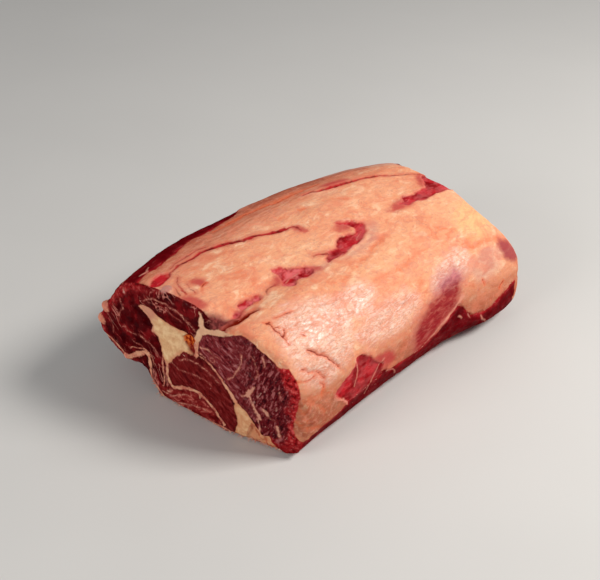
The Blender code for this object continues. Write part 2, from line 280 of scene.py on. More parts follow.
# Pale strands and slips of fat that lie on the lean or along an edge: points, start and end width.
STRANDS = {
    "upright": ([(-69, 106), (-65.3, 118), (-65.2, 129), (-68, 138)], 1.8, 1.4),
    "second": ([(-34, 131), (-42, 138), (-49, 148), (-52, 156)], 1.4, 1.0),
    "low_slant": ([(-28, 146), (-20, 152), (-14, 158)], 1.6, 0.8),
    "near_foot": ([(-92, 137), (-81, 145), (-76, 152)], 1.2, 2.0),
    "far_slant": ([(88, 149), (94, 156), (100, 162)], 1.6, 1.0),
    "far_fleck": ([(63, 142), (66, 145)], 2.2, 1.0),
    "far_fleck_low": ([(73, 143), (76, 148)], 1.4, 0.8),
    "near_ridge": ([(-150, -80), (-138, -78), (-122, -79)], 1.6, 0.9),
    "near_tongue": ([(-138, -62), (-133, -61), (-127, -66)], 2.4, 1.2),
    "far_cut_lip": ([(26, -42), (38, -38), (56, -33.5)], 1.0, 0.8),
    "far_cut_lip_end": ([(58, -32), (64, -30)], 1.4, 0.8),
    "patch_fibre": ([(-70, 29), (-60, 28), (-52, 27)], 0.9, 0.5),
    "patch_fibre_far": ([(12, 30), (18, 27), (24, 24)], 0.6, 0.4),
    "middle_slip": ([(-4, 34), (3, 34.5), (10, 35), (18, 32)], 2.6, 1.6),
    "purple_slip": ([(18, 146), (31.5, 141.5), (38, 139), (48, 134.5), (59, 128.5), (67, 124)], 1.0, 3.6),
    "shoulder_slip": ([(78, -58), (86, -54), (92, -55)], 1.4, 0.8),
    "shoulder_dot": ([(40, -62), (42, -62)], 2.0, 1.6),
}

# Paler and yellower fat, and fat in fine wrinkles.
CREAM_AREAS = {
    "beside_middle": [(-66, 4), (-40, -4), (-14, 6), (-20, 18), (-40, 22), (-58, 14)],
    "centre": [(-30, 56), (10, 54), (50, 44), (70, 54), (40, 66), (0, 68)],
    "far": [(70, 34), (90, 30), (135, 38), (138, 84), (112, 86), (96, 60)],
    "pale_spot": [(82, 40), (92, 36), (102, 40), (98, 47), (86, 48)],
    "near_crown": [(-116, 76), (-104, 80), (-110, 90), (-124, 88)],
}
YELLOW_AREA = [(96, 78), (108, 64), (120, 56), (140, 58), (142, 84), (122, 88), (106, 88)]
WRINKLED_AREAS = {
    "near": [(-124, 62), (-98, 50), (-66, 58), (-52, 74), (-60, 96), (-76, 112), (-100, 118), (-122, 106)],
    "low": [(-66, 96), (-30, 88), (6, 90), (20, 104), (-6, 116), (-44, 112)],
    "far": [(36, 104), (44, 92), (60, 86), (84, 88), (88, 100), (70, 108), (52, 116)],
    "centre": [(-50, 66), (-30, 62), (-20, 76), (-34, 90), (-56, 84)],
}

# The lean that the cap leaves bare along its lower edges. Each row is (y, girth), front to back.
LEFT_CAP_EDGE = [
    (-152, -56), (-144, -56), (-135, -58), (-127, -55), (-119, -57), (-104, -58), (-96, -60), (-88, -63),
    (-76, -65), (-66, -64), (-57, -64.5), (-51, -65.5), (-44, -66), (-37, -66.5), (-30, -67.5), (-20, -73),
    (-8, -82), (15, -86), (45, -90), (80, -88), (110, -90), (150, -88),
]
RIGHT_CAP_EDGE = [
    (-152, 166), (-126, 157), (-104, 155), (-84, 154), (-74, 150), (-60, 150), (-45, 148), (-33, 143), (-22, 148),
    (-8, 149), (4, 149), (19, 148), (31, 144), (38, 141.5), (48, 137), (55, 132), (62, 129), (67, 132), (71, 139),
    (76, 144), (84, 145), (91, 145), (98, 143), (107, 139.5), (114, 137.5), (124, 135.5), (133, 133.5), (150, 131),
]

# Where the skin swells a little: (y, girth), reach along and round, height.
SWELLS = [
    ((-112, -82), (60, 34), 4.0),
    ((152, 74), (25, 34), -5.5),
    ((104, 154), (44, 15), 6.5),
    ((-122, 74), (13, 12), 1.4),
]

# Small lumps of fat that hang at the left of the cut face: (x, y, z), size, height.
NODULES = [
    ((-90, -149, 65.5), 4.4, 4.0),
    ((-96, -148, 50.5), 4.2, 4.6),
    ((-67, -150, 89), 1.3, 1.0),
    ((-72, -149, 25), 3.0, 2.6),
    ((-26, -142, 106.3), 3.8, 1.2),
]


def paint(red, green, blue):
    """A colour named by its 0 to 255 screen values, as the linear colour that a shader takes."""
    screen = (np.array((red, green, blue)) / 255).tolist()
    return tuple(v / 12.92 if v < 0.04045 else ((v + 0.055) / 1.055) ** 2.4 for v in screen) + (1.0,)


# ---------------------------------------------------------------- drawing on the meat's surface


def smooth_line(points, steps=5):
    """A Catmull-Rom line through the points."""
    points = np.array(points, float)
    ends = np.vstack((2 * points[0] - points[1], points, 2 * points[-1] - points[-2]))
    share = np.linspace(0, 1, steps, endpoint=False)[:, None]
    pieces = []
    for a, b, c, d in zip(ends, ends[1:], ends[2:], ends[3:]):
        bend = 2 * b + (c - a) * share + (2 * a - 5 * b + 4 * c - d) * share**2
        pieces.append((bend + (3 * b - a - 3 * c + d) * share**3) / 2)
    return np.vstack(pieces + [points[-1:]])


def near_box(places, line, margin):
    """Which places lie within a margin of the line's box."""
    low, high = line.min(axis=0) - margin, line.max(axis=0) + margin
    return np.all((places > low) & (places < high), axis=1)


def wander(places, reach, size, seed):
    """A soft shift of up to about reach mm in both directions, so that nothing looks ruled."""
    return reach * np.column_stack((lumps(places, size, seed), lumps(places, size, seed + 0.37)))


def to_segments(places, starts, ends):
    """Distances from places to segments, and how far along each segment the nearest spot lies."""
    run = ends - starts
    away = places[:, None] - starts[None]
    along = np.clip((away * run).sum(-1) / np.maximum((run**2).sum(-1), 1e-9), 0, 1)
    return np.linalg.norm(away - along[..., None] * run, axis=-1), along


def off_stroke(places, points, *widths):
    """How far places lie outside a smooth stroke, in mm: negative inside it."""
    line = smooth_line(points)
    found = np.full(len(places), FAR_OFF)
    close = near_box(places, line, FAR_OFF)
    if not close.any():
        return found
    stations = np.linspace(0, 1, len(line))
    half = np.interp(stations, np.linspace(0, 1, len(widths)), widths) / 2
    distance, along = to_segments(places[close], line[:-1], line[1:])
    distance -= half[:-1] + (half[1:] - half[:-1]) * along
    found[close] = np.minimum(distance.min(axis=1), FAR_OFF)
    return found


def off_area(places, outline):
    """How far places lie outside an outline, in mm: negative inside it."""
    line = smooth_line(list(outline) + [outline[0]], 3)
    found = np.full(len(places), FAR_OFF)
    close = near_box(places, line, FAR_OFF)
    if not close.any():
        return found
    spots = places[close]
    starts, ends = line[:-1], line[1:]
    distance = to_segments(spots, starts, ends)[0].min(axis=1)
    crosses = (starts[:, 1] > spots[:, None, 1]) != (ends[:, 1] > spots[:, None, 1])
    rise = np.where(ends[:, 1] == starts[:, 1], 1e-9, ends[:, 1] - starts[:, 1])
    level = starts[:, 0] + (spots[:, None, 1] - starts[:, 1]) / rise * (ends[:, 0] - starts[:, 0])
    inside = (crosses & (spots[:, None, 0] < level)).sum(axis=1) % 2 == 1
    found[close] = np.minimum(np.where(inside, -distance, distance), FAR_OFF)
    return found


def off_strokes(places, strokes):
    """The least distance to any of the named strokes."""
    return np.min([off_stroke(places, *stroke) for stroke in strokes.values()], axis=0)


def off_areas(places, outlines):
    """The least distance to any of the named areas."""
    return np.min([off_area(places, outline) for outline in outlines.values()], axis=0)


def lumps(places, size, seed=0):
    """Smooth noise from -1 to 1 with lumps of about the given size. size may differ by direction."""
    spots = places / size + seed * 17.31
    cell = np.floor(spots).astype(np.int64)
    part = spots - cell
    part = part * part * (3 - 2 * part)
    total = np.zeros(len(places))
    for corner in itertools.product((0, 1), repeat=3):
        key = (cell + corner) @ np.array((73856093, 19349663, 83492791))
        key = (key ^ (key >> 13)) * 1274126177 & 0x7FFFFFFF
        key = (key ^ (key >> 15)) * 668265263 & 0x7FFFFFFF
        weight = np.prod(np.where(np.array(corner) == 1, part, 1 - part), axis=1)
        total += weight * (key / 0x3FFFFFFF - 1)
    return total


def step(value, low, high):
    """0 below low, 1 above high, and smooth between. low may lie above high."""
    share = np.clip((value - low) / (high - low), 0, 1)
    return share * share * (3 - 2 * share)


def hill(value, width):
    """1 at zero, falling smoothly to nothing within a few widths."""
    return np.exp(-((value / width) ** 2))


# ---------------------------------------------------------------- the meat's mesh


def fine_copy(node, name):
    """A smooth, finely meshed copy of a faceted solid, in metres."""
    mesh = bmesh.new()
    mesh.from_mesh(node.data)
    bmesh.ops.remove_doubles(mesh, verts=mesh.verts, dist=0.01 * MM)
    flat_enough = math.radians(60)
    bmesh.ops.join_triangles(
        mesh, faces=mesh.faces, angle_face_threshold=flat_enough, angle_shape_threshold=flat_enough
    )
    data = bpy.data.meshes.new(name)
    mesh.to_mesh(data)
    mesh.free()
    copy = bpy.data.objects.new(name, data)
    bpy.context.scene.collection.objects.link(copy)
    rounding = copy.modifiers.new("rounding", "SUBSURF")
    rounding.levels = rounding.render_levels = 2
    meshing = copy.modifiers.new("meshing", "REMESH")
    meshing.mode = "VOXEL"
    meshing.voxel_size = QUAD_SIZE * MM
    view = bpy.context.evaluated_depsgraph_get()
    made = bpy.data.meshes.new_from_object(copy.evaluated_get(view))
    copy.modifiers.clear()
    copy.data = made
    return copy


def split_quads(data, wanted):
    """Cuts each face whose corners are all wanted into four."""
    mesh = bmesh.new()
    mesh.from_mesh(data)
    edges = {edge for face in mesh.faces if all(wanted[v.index] for v in face.verts) for edge in face.edges}
    bmesh.ops.subdivide_edges(mesh, edges=list(edges), cuts=1, use_grid_fill=True)
    mesh.to_mesh(data)
    mesh.free()


def mesh_places(data):
    """The vertices' places, in mm."""
    flat = np.empty(len(data.vertices) * 3, np.float32)
    data.vertices.foreach_get("co", flat)
    return flat.reshape(-1, 3).astype(float) / MM


def mesh_normals(data):
    """The vertices' outward directions."""
    flat = np.empty(len(data.vertices) * 3, np.float32)
    data.vertices.foreach_get("normal", flat)
    return flat.reshape(-1, 3).astype(float)


def set_places(data, places):
    """Moves the vertices to places in mm."""
    data.vertices.foreach_set("co", (places * MM).astype(np.float32).ravel())
    data.update()


def relax(data, steps, share=1.0, back=0.9):
    """Evens out the mesh: each vertex moves halfway to the mean of its neighbours, and a part of it back."""
    places = mesh_places(data)
    edges = np.empty(len(data.edges) * 2, np.int32)
    data.edges.foreach_get("vertices", edges)
    ends = edges.reshape(-1, 2)
    count = np.bincount(edges, minlength=len(places))[:, None]
    pulls = [0.5, -0.5 * back] if back else [0.5]
    for pull in pulls * steps:
        total = np.zeros_like(places)
        for axis in range(3):
            total[:, axis] = np.bincount(ends[:, 0], places[ends[:, 1], axis], len(places))
            total[:, axis] += np.bincount(ends[:, 1], places[ends[:, 0], axis], len(places))
        places = places + pull * share * (total / count - places)
    set_places(data, places)


def keep(data, name, values):
    """Stores one number for each vertex, for the finish to read."""
    data.attributes.new(name, "FLOAT", "POINT").data.foreach_set("value", values.astype(np.float32))


class Roast:
    """The roast's surface while it is being shaped: places, directions and the two layouts."""

    def __init__(self, data):
        self.places = mesh_places(data)
        self.normals = mesh_normals(data)
        self.across, self.along, self.up = self.places.T
        self.girth = self.measure_girth()
        self.skin = np.column_stack((self.along, self.girth))
        self.skin += wander(self.places, 1.5, 10, 35) + wander(self.places, 0.8, 3.4, 37)
        self.far = self.along > 0
        self.face = self.lay_out_face()
        self.behind = self.measure_behind()
        self.rim = self.measure_rim()
        self.under = step(-self.normals[:, 2], 0.55, 0.95)

    def measure_girth(self):
        """How far round the skin each place lies from the top, by its angle round the core."""
        angle = np.arctan2(self.across - CORE_ACROSS, self.up - CORE_UP)
        reach = np.hypot(self.across - CORE_ACROSS, self.up - CORE_UP)
        middle = np.abs(self.along) < 3
        order = np.argsort(angle[middle])
        angles = np.radians(np.arange(-180, 181))
        reaches = np.interp(angles, angle[middle][order], reach[middle][order], period=2 * np.pi)
        run = np.hypot(reaches, np.gradient(reaches, angles)) * np.gradient(angles)
        girth = np.cumsum(run)
        return np.interp(angle, angles, girth - np.interp(0, angles, girth))

    def lay_out_face(self):
        """Places on a cut face. The muscles run through to the far face, where they lie a little changed."""
        warp = 5 * lumps(self.places, 38, 5)
        far_across = LOW[0] + (self.across - LOW[0] - 16) * 1.04 + warp
        far_up = self.up * 1.07 + 0.6 * warp
        across = np.where(self.far, far_across, self.across)
        spots = np.column_stack((across, np.where(self.far, far_up, self.up)))
        return spots + wander(self.places, 1.1, 7, 31) + wander(self.places, 0.7, 2.8, 33)

    def measure_behind(self):
        """How far each place lies behind the rim of its cut face: negative on the face itself."""
        facing = np.abs(self.normals[:, 1])
        rims = (facing > 0.3) & (facing < 0.8)
        behind = np.empty(len(self.places))
        for end, side in ((self.far, 1), (~self.far, -1)):
            rim = rims & end & (side * self.along > 100)
            line = np.polyfit(self.across[rim], self.along[rim], 5)
            behind[end] = side * (np.polyval(line, self.across[end]) - self.along[end])
        return behind - 9 * step(facing, 0.45, 0.85)

    def measure_rim(self):
        """How far each place lies from the corner round its cut face."""
        facing = np.abs(self.normals[:, 1])
        found = np.full(len(self.places), FAR_OFF)
        for end in (self.far, ~self.far):
            near_rim = end & (np.abs(self.along) > 100)
            tree = kdtree.KDTree(len(self.places))
            for number in np.flatnonzero(near_rim & (facing > 0.5) & (facing < 0.8)):
                tree.insert(self.places[number], number)
            tree.balance()
            for number in np.flatnonzero(near_rim):
                found[number] = min(tree.find(self.places[number])[2], FAR_OFF)
        return found


def draw_face(roast):
    """The distances to everything drawn on the cut faces."""
    near_faces = roast.behind < FAR_OFF
    spots = roast.face[near_faces]

    def spread(values):
        full = np.full(len(roast.places), FAR_OFF)
        full[near_faces] = values
        return full

    rims = {"crown": CROWN_RIM, "side": SIDE_RIM, "wedge": WEDGE_RIM}
    wrapped = roast.far & (np.abs(roast.girth - 60) < 95)
    far_rim = np.where(wrapped, roast.rim - 9 + 3 * lumps(roast.places, 11, 6), FAR_OFF)
    return {
        "seam": spread(off_strokes(spots, SEAMS)),
        "vein": spread(off_strokes(spots, VEINS)),
        "cream": spread(off_areas(spots, {"kernel": KERNEL_FAT, "wedge": WEDGE_FAT})),
        "kernel_tip": spread(off_area(spots, KERNEL_TIP)),
        "rim_fat": np.minimum(np.maximum(spread(off_areas(spots, rims)), roast.behind - 9), far_rim),
        "pit": spread(off_area(spots, PIT)),
        "eye": spread(off_area(spots, EYE_MUSCLE)),
        "heart": spread(off_area(spots, HEART_MUSCLE)),
        "strip": spread(off_area(spots, LOWER_STRIP)),
        "bright": spread(off_area(spots, BRIGHT_EDGE)),
        "rim": roast.rim,
    }


def draw_skin(roast):
    """The distances to everything drawn on the skin."""
    spots = roast.skin
    left = np.interp(roast.along, *np.array(LEFT_CAP_EDGE, float).T)
    right = np.interp(roast.along, *np.array(RIGHT_CAP_EDGE, float).T)
    bare = np.clip(np.minimum(roast.girth - left, right - roast.girth), -40, FAR_OFF)
    return {
        "raw": off_areas(spots, RAW_PATCHES),
        "cut": off_strokes(spots, {name: cut[:4] for name, cut in CUTS.items()}),
        "crease": off_strokes(spots, {name: crease[:2] for name, crease in CREASES.items()}),
        "furrow": off_strokes(spots, {name: furrow[:3] for name, furrow in FURROWS.items()}),
        "blush": off_areas(spots, BLUSHES),
        "stain": off_area(spots, STAIN),
        "veil": off_areas(spots, VEILS),
        "strand": off_strokes(spots, STRANDS),
        "pale": off_areas(spots, CREAM_AREAS),
        "yellow": off_area(spots, YELLOW_AREA),
        "wrinkled": off_areas(spots, WRINKLED_AREAS),
        "cap": bare,
    }


def skin_folds(roast):
    """Fine wrinkles, as heights above their creases: two sets that cross, running along the roast."""
    first = roast.places @ np.array(((1, 0.35, 0), (-0.35, 1, 0), (0, 0, 1))).T
    second = roast.places @ np.array(((1, -0.5, 0), (0.5, 1, 0), (0, 0, 1))).T
    warp = 1.6 * lumps(roast.places, 8, 21)[:, None]
    one = np.abs(lumps(first + warp, np.array((2.4, 11.0, 2.4)), 18))
    two = np.abs(lumps(second - warp, np.array((3.8, 15.0, 3.8)), 19))
    return np.clip(np.minimum(one * 1.5, two * 1.6), 0, 1)


def face_relief(roast, drawn):
    """How far the cut face stands out: swollen muscles between lower seams."""
    fat = np.minimum(np.minimum(drawn["seam"], drawn["cream"]), drawn["rim_fat"])
    lean = step(fat, -0.5, 1.5)
    height = 1.0 * (1 - np.exp(-np.clip(fat, 0, None) / 3.0)) - 0.5
    height += 0.5 * step(drawn["cream"], 0, -4) * (0.8 + lumps(roast.places, 7, 1))
    height -= 0.2 * step(drawn["vein"], 0.6, -0.4)
    height -= 2.4 * step(drawn["pit"], 1.5, -2.5)
    height += 0.45 * lumps(roast.places, 11, 2) + lean * 0.3 * lumps(roast.places, 4.2, 3)
    height += lean * 0.22 * lumps(roast.places, 2.2, 4)
    return height


def skin_relief(roast, drawn, folds):
    """How far the skin stands out."""
    stretch = np.array((1.0, 2.6, 1.0))
    height = 0.8 * lumps(roast.places, 42, 11) + 0.5 * lumps(roast.places, 17 * stretch, 12)
    height += 0.28 * lumps(roast.places, 6 * stretch, 13) + 0.12 * lumps(roast.places, 2.8, 14)
    for (along, girth), (reach, spread), swell in SWELLS:
        height += swell * hill(roast.along - along, reach) * hill(roast.girth - girth, spread)
    ragged = drawn["raw"] + 0.8 * lumps(roast.places, 4, 15)
    height -= 1.0 * step(ragged, 1.0, -1.0)
    height += 0.35 * hill(ragged - 1.6, 1.2)
    bare = drawn["cap"] + 2.0 * lumps(roast.places, 7, 16)
    height -= 1.0 * step(bare, 1.0, -1.2)
    height += 0.5 * step(bare, 0, -4) * lumps(roast.places, np.array((3.2, 9, 3.2)), 17)
    height += 0.25 * step(drawn["strand"], 1.0, -0.3)
    for points, start, middle, end, depth in CUTS.values():
        off = off_stroke(roast.skin, points, start, middle, end)
        height -= depth * step(off, 0.9, -1.2)
        height += 0.2 * depth * hill(off - 2.0, 1.4)
    for points, width, depth in CREASES.values():
        off = off_stroke(roast.skin, points, width)
        height -= 0.45 * depth * step(off, 0.8, -0.2)
        height += 0.25 * depth * hill(off - 2.2, 1.5)
    for points, start, end, depth in FURROWS.values():
        off = off_stroke(roast.skin, points, start, end)
        height -= depth * step(off, 2.5, -1.5)
        height += 0.3 * depth * hill(off - 3.5, 1.8)
    height += 0.5 * step(roast.girth, 98, 122) * lumps(roast.places, np.array((5, 9, 5)), 24)
    wrinkled = 0.1 + 0.9 * step(drawn["wrinkled"], 6, -7) * step(lumps(roast.places, 13, 23), -0.5, 0.4)
    height += 0.26 * wrinkled * (step(folds, 0, 0.4) - 0.6)
    return height


def bone_beds(roast):
    """Shallow beds across the underside, where the ribs lay."""
    wave = np.cos((roast.along + 0.12 * roast.across) / 37 * 2 * np.pi)
    inside = step(roast.behind, 8, 26) * step(np.abs(roast.across - 14), 70, 52)
    return step(wave, 0.1, 0.9) * inside * roast.under


def round_rims(data):
    """Rounds the rims of the cut faces: well where fat wraps over them, a little elsewhere."""
    roast = Roast(data)
    wrapped = step(draw_face(roast)["rim_fat"], 6, -1)
    share = step(roast.rim, 12, 6) * (0.06 + 0.94 * wrapped)
    relax(data, ROUNDING_STEPS, share[:, None], back=0)


def measure_nodules(roast):
    """How much of a hanging lump of fat each place has, from 0 to 1, and its height."""
    share, height = np.zeros(len(roast.places)), np.zeros(len(roast.places))
    for middle, size, lift in NODULES:
        lump = hill(np.linalg.norm(roast.places - np.array(middle), axis=1), size)
        share = np.maximum(share, lump)
        height += lift * lump
    return share, height


def fine_places(roast, face, skin):
    """Which vertices lie where the drawing is fine."""
    on_face = (roast.behind < 1.0) & ~roast.far
    lines = np.minimum(np.minimum(skin["cut"], skin["crease"]), skin["strand"]) < FINE_BAND
    edges = (np.abs(skin["raw"]) < FINE_BAND) | (np.abs(skin["cap"]) < FINE_BAND)
    return on_face | lines | edges | (skin["wrinkled"] < 0)


def add_shred(mesh, root, run, bend, thickness):
    """A fine tapered shred from its root along run, curving by bend. All in mm."""
    across = Vector(run).orthogonal().normalized()
    over = Vector(run).cross(across).normalized()
    turns = [2 * math.pi * number / 5 for number in range(5)]
    rings = []
    for share in (0, 0.25, 0.5, 0.75, 0.92):
        middle = Vector(root + run * share + bend * share**2)
        reach = thickness * (1.05 - share) ** 0.7
        ring = [middle + (across * math.cos(turn) + over * math.sin(turn) * 0.6) * reach for turn in turns]
        rings.append([mesh.verts.new(spot * MM) for spot in ring])
    tip = mesh.verts.new(Vector(root + run + bend) * MM)
    mesh.faces.new(rings[0][::-1])
    for ring, following in zip(rings, rings[1:]):
        for number in range(5):
            beside = (number + 1) % 5
            mesh.faces.new((ring[number], ring[beside], following[beside], following[number]))
    for number in range(5):
        mesh.faces.new((rings[-1][number], rings[-1][(number + 1) % 5], tip))


def make_shreds(body, roast, skin):
    """Torn shreds of fat: a fringe under the near cut face, and a few at the edges of the bare lean."""
    random = np.random.default_rng(7)
    places, normals = mesh_places(body.data), mesh_normals(body.data)
    fringe = np.flatnonzero((roast.rim < 1.5) & ~roast.far & (np.abs(roast.up - 7) < 6) & (roast.across < 82))
    torn_cap = (np.abs(skin["cap"]) < 0.8) & (roast.girth > 0) & (roast.up > 8)
    edges = np.flatnonzero((np.abs(skin["raw"]) < 0.4) | torn_cap)
    mesh = bmesh.new()
    for number in random.choice(fringe, 120):
        run = normals[number] + random.normal(0, 0.6, 3)
        run *= random.uniform(1.2, 4.0) / np.linalg.norm(run)
        run[2] = max(run[2], 0.8 - places[number, 2])
        bend = random.normal(0, 0.5, 3) * (1, 1, 0)
        add_shred(mesh, places[number] - 0.3 * normals[number], run, bend, random.uniform(0.25, 0.55))
    for number in random.choice(edges, 110):
        run = np.array((0, random.choice((-1, 1)), 0)) + random.normal(0, 0.35, 3)
        run -= normals[number] * (run @ normals[number])
        run *= random.uniform(2.0, 5.0) / np.linalg.norm(run)
        lift = normals[number] * random.uniform(-0.3, 0.5)
        add_shred(mesh, places[number] - 0.1 * normals[number], run, lift, random.uniform(0.15, 0.3))
    data = bpy.data.meshes.new("fat_shreds")
    mesh.to_mesh(data)
    mesh.free()
    data.shade_smooth()
    shreds = bpy.data.objects.new("fat_shreds", data)
    bpy.context.scene.collection.objects.link(shreds)
    data.materials.append(shred_fat())
    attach(shreds, "root")


def make_body():
    """The whole roast as one closed piece."""
    body = fine_copy(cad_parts["rib_roast"], "roast_body")
    relax(body.data, SMOOTHING_STEPS)
    round_rims(body.data)
    roast = Roast(body.data)
    split_quads(body.data, fine_places(roast, draw_face(roast), draw_skin(roast)))
    relax(body.data, SMOOTHING_STEPS)
    roast = Roast(body.data)
    face = draw_face(roast)
    skin = draw_skin(roast)
    folds = skin_folds(roast)
    nodule, lift = measure_nodules(roast)
    on_skin = np.maximum(step(roast.behind, -2.5, 1.0), step(face["rim_fat"], -0.5, -3.0))
    height = face_relief(roast, face) * (1 - on_skin) + skin_relief(roast, skin, folds) * on_skin
    beds = bone_beds(roast)
    height = height * (1 - 0.85 * roast.under) - 1.8 * beds
    height += lift
    shaped = roast.places + roast.normals * height[:, None]
    shaped[:, 2] = np.maximum(shaped[:, 2], 0.02)
    set_places(body.data, shaped)
    make_shreds(body, roast, skin)
    stored = {"folds": folds, "girth": roast.girth, "behind": roast.behind, "under": roast.under}
    for name, values in {**face, **skin, **stored, "beds": beds, "nodule": nodule}.items():
        keep(body.data, name, values)
    body.data.shade_smooth()
    body.data.materials.clear()
    body.data.materials.append(raw_beef())
    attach(body, "root")
    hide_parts("rib_roast")


# ---------------------------------------------------------------- finishes


class Value:
    """A shader socket that works in sums: an operator adds the Math node that it stands for."""

    def __init__(self, finish, socket):
        self.finish = finish
        self.socket = socket

    def math(self, operation, *inputs):
        return self.finish.node("ShaderNodeMath", {"operation": operation}, dict(enumerate(inputs)))

    def __add__(self, other):
        return self.math("ADD", self, other)

    __radd__ = __add__

    def __sub__(self, other):
        return self.math("SUBTRACT", self, other)

    def __rsub__(self, other):
        return self.math("SUBTRACT", other, self)

    def __mul__(self, other):
        return self.math("MULTIPLY", self, other)

    __rmul__ = __mul__

    def __abs__(self):
        return self.math("ABSOLUTE", self)

    def either(self, other):
        """The greater of two."""
        return self.math("MAXIMUM", self, other)

    def rise(self, low, high):
        """0 below low, 1 above high, and smooth between. low may lie above high."""
        limits = {"Value": self, "From Min": low, "From Max": high}
        return self.finish.node("ShaderNodeMapRange", {"interpolation_type": "SMOOTHSTEP"}, limits)


class Finish:
    """One material and the nodes that make it."""

    def __init__(self, name):
        self.material = bpy.data.materials.new(name)
        self.material.use_nodes = True
        self.tree = self.material.node_tree
        self.shader = self.tree.nodes["Principled BSDF"]
        place = self.node("ShaderNodeTexCoord", output="Object")
        self.spot = self.node("ShaderNodeVectorMath", {"operation": "SCALE"}, {0: place, "Scale": 1 / MM})

    def node(self, kind, settings=None, inputs=None, output=0):
        """Adds a node, its settings first, then its sockets' values or links. Gives one output."""
        made = self.tree.nodes.new(kind)
        for name, setting in (settings or {}).items():
            setattr(made, name, setting)
        for key, value in (inputs or {}).items():
            if isinstance(value, Value):
                self.tree.links.new(value.socket, made.inputs[key])
            else:
                made.inputs[key].default_value = value
        return Value(self, made.outputs[output])

    def drawn(self, name):
        """A number stored on the mesh."""
        return self.node("ShaderNodeAttribute", {"attribute_name": name}, output="Fac")

    def measured(self, direction):
        """How far the place lies along a direction, in mm."""
        return self.node("ShaderNodeVectorMath", {"operation": "DOT_PRODUCT"}, {0: self.spot, 1: direction}, "Value")

    def lengthwise(self, factor):
        """The place, with everything drawn on it stretched along the roast."""
        return self.node("ShaderNodeVectorMath", {"operation": "MULTIPLY"}, {0: self.spot, 1: (1, 1 / factor, 1)})

    def slanting(self, degrees, factor):
        """The place, with everything drawn on it stretched across the cut face, so many degrees above level."""
        turn = math.radians(degrees)
        along = self.measured((math.cos(turn) / factor, 0, math.sin(turn) / factor))
        up = self.measured((-math.sin(turn), 0, math.cos(turn)))
        return self.node("ShaderNodeCombineXYZ", None, {0: along, 1: self.measured((0, 1, 0)), 2: up})

    def grain(self, size, detail=2.0, place=None, roughness=0.5, warp=0.0):
        """Noise from 0 to 1 whose lumps are about size mm across."""
        inputs = {"Vector": place or self.spot, "Scale": 1 / size, "Detail": detail}
        inputs.update({"Roughness": roughness, "Distortion": warp})
        return self.node("ShaderNodeTexNoise", None, inputs)

    def threads(self, size, thickness, place, cover):
        """Thin wandering lines about size mm apart, broken up: cover is from 0, few, to 1, all over."""
        line = abs(self.grain(size, 3.0, place, 0.6, 0.8) - 0.5).rise(thickness, thickness * 0.15)
        return line * self.grain(size * 1.7, 2.0, place).rise(0.62 - cover * 0.3, 0.74 - cover * 0.3)

    def tones(self, noise, dark, middle, light):
        """A colour for low, middling and high noise."""
        lower = self.mix(dark, middle, noise.rise(0.36, 0.5))
        return self.mix(lower, light, noise.rise(0.52, 0.66))

    def mix(self, first, second, share):
        """Goes from the first colour to the second."""
        return self.node("ShaderNodeMix", {"data_type": "RGBA"}, {0: share, 6: first, 7: second}, 2)

    def dim(self, colour, by):
        """A colour made darker or lighter by a number."""
        settings = {"data_type": "RGBA", "blend_type": "MULTIPLY"}
        return self.node("ShaderNodeMix", settings, {0: 1.0, 6: colour, 7: by}, 2)

    def surface(self, colour, roughness, height=None, coat=None, **constants):
        """Joins colour, roughness, fine relief in mm and a wet coat to the shader, and sets its constants."""
        joined = {"Base Color": colour, "Roughness": roughness, "Coat Weight": coat}
        if height is not None:
            joined["Normal"] = self.node("ShaderNodeBump", None, {"Distance": MM, "Height": height})
        for name, value in joined.items():
            if isinstance(value, Value):
                self.tree.links.new(value.socket, self.shader.inputs[name])
            elif value is not None:
                self.shader.inputs[name].default_value = value
        for name, value in constants.items():
            self.shader.inputs[name.replace("_", " ")].default_value = value
        return self.material


